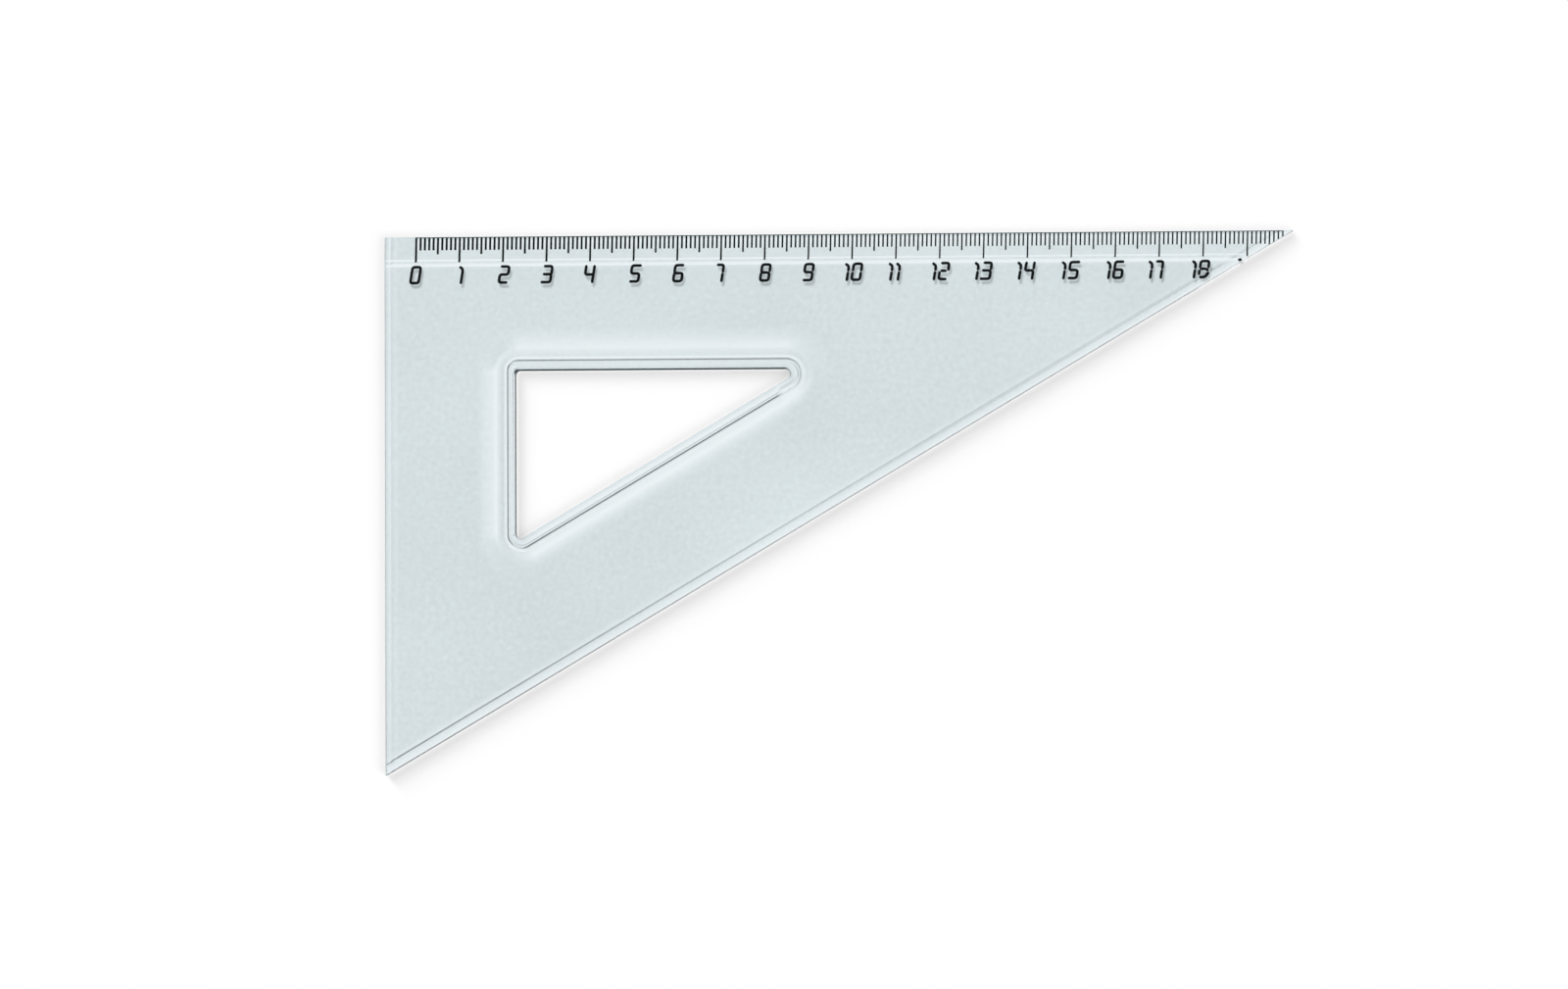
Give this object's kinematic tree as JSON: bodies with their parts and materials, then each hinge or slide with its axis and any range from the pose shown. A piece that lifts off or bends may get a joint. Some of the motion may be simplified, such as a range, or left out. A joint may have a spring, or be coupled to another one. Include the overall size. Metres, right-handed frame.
{
  "type": "drafting triangle",
  "caption": "Clear plastic 30-60-90 drafting triangle with a triangular cut-out, stepped rims and a bevelled, numbered centimetre scale along its long leg.",
  "frame": {"origin": "centre of the bounding box in X and Y, on the flat underside that lies on the drawing surface", "axes": "+X along the long leg from the 60 degree end to the 30 degree tip, +Y square to the long leg from the cut-out towards the scale edge, +Z out of the printed upper face"},
  "size_m": [0.2074, 0.1198, 0.0021],
  "materials": {
    "clear_plastic": "clear injection-moulded plastic with a faint blue-grey tint, polished faces and fine handling scratches",
    "black_ink": "opaque black screen-printed ink, slightly matt"
  },
  "bodies": {
    "root": {"clear_plate": "clear_plastic", "numeral_0": "black_ink", "numeral_1": "black_ink", "numeral_10_tens_lower": "black_ink", "numeral_10_tens_upper": "black_ink", "numeral_10_units_lower": "black_ink", "numeral_10_units_upper": "black_ink", "numeral_11_tens_lower": "black_ink", "numeral_11_tens_upper": "black_ink", "numeral_11_units_lower": "black_ink", "numeral_11_units_upper": "black_ink", "numeral_12_tens_lower": "black_ink", "numeral_12_tens_upper": "black_ink", "numeral_12_units_lower": "black_ink", "numeral_12_units_middle": "black_ink", "numeral_12_units_upper": "black_ink", "numeral_13_tens_lower": "black_ink", "numeral_13_tens_upper": "black_ink", "numeral_13_units_lower": "black_ink", "numeral_13_units_upper": "black_ink", "numeral_14_tens_lower": "black_ink", "numeral_14_tens_upper": "black_ink", "numeral_14_units_left": "black_ink", "numeral_14_units_right": "black_ink", "numeral_15_tens_lower": "black_ink", "numeral_15_tens_upper": "black_ink", "numeral_15_units": "black_ink", "numeral_16_tens_lower": "black_ink", "numeral_16_tens_upper": "black_ink", "numeral_16_units": "black_ink", "numeral_17_tens_lower": "black_ink", "numeral_17_tens_upper": "black_ink", "numeral_17_units_lower": "black_ink", "numeral_17_units_upper": "black_ink", "numeral_18_tens_lower": "black_ink", "numeral_18_tens_upper": "black_ink", "numeral_18_units_left": "black_ink", "numeral_18_units_lower": "black_ink", "numeral_18_units_middle": "black_ink", "numeral_18_units_upper": "black_ink", "numeral_19_hook": "black_ink", "numeral_2": "black_ink", "numeral_3": "black_ink", "numeral_4": "black_ink", "numeral_5": "black_ink", "numeral_6": "black_ink", "numeral_7_lower": "black_ink", "numeral_7_upper": "black_ink", "numeral_8": "black_ink", "numeral_9": "black_ink", "scale_marks": "black_ink"}
  },
  "joints": []
}
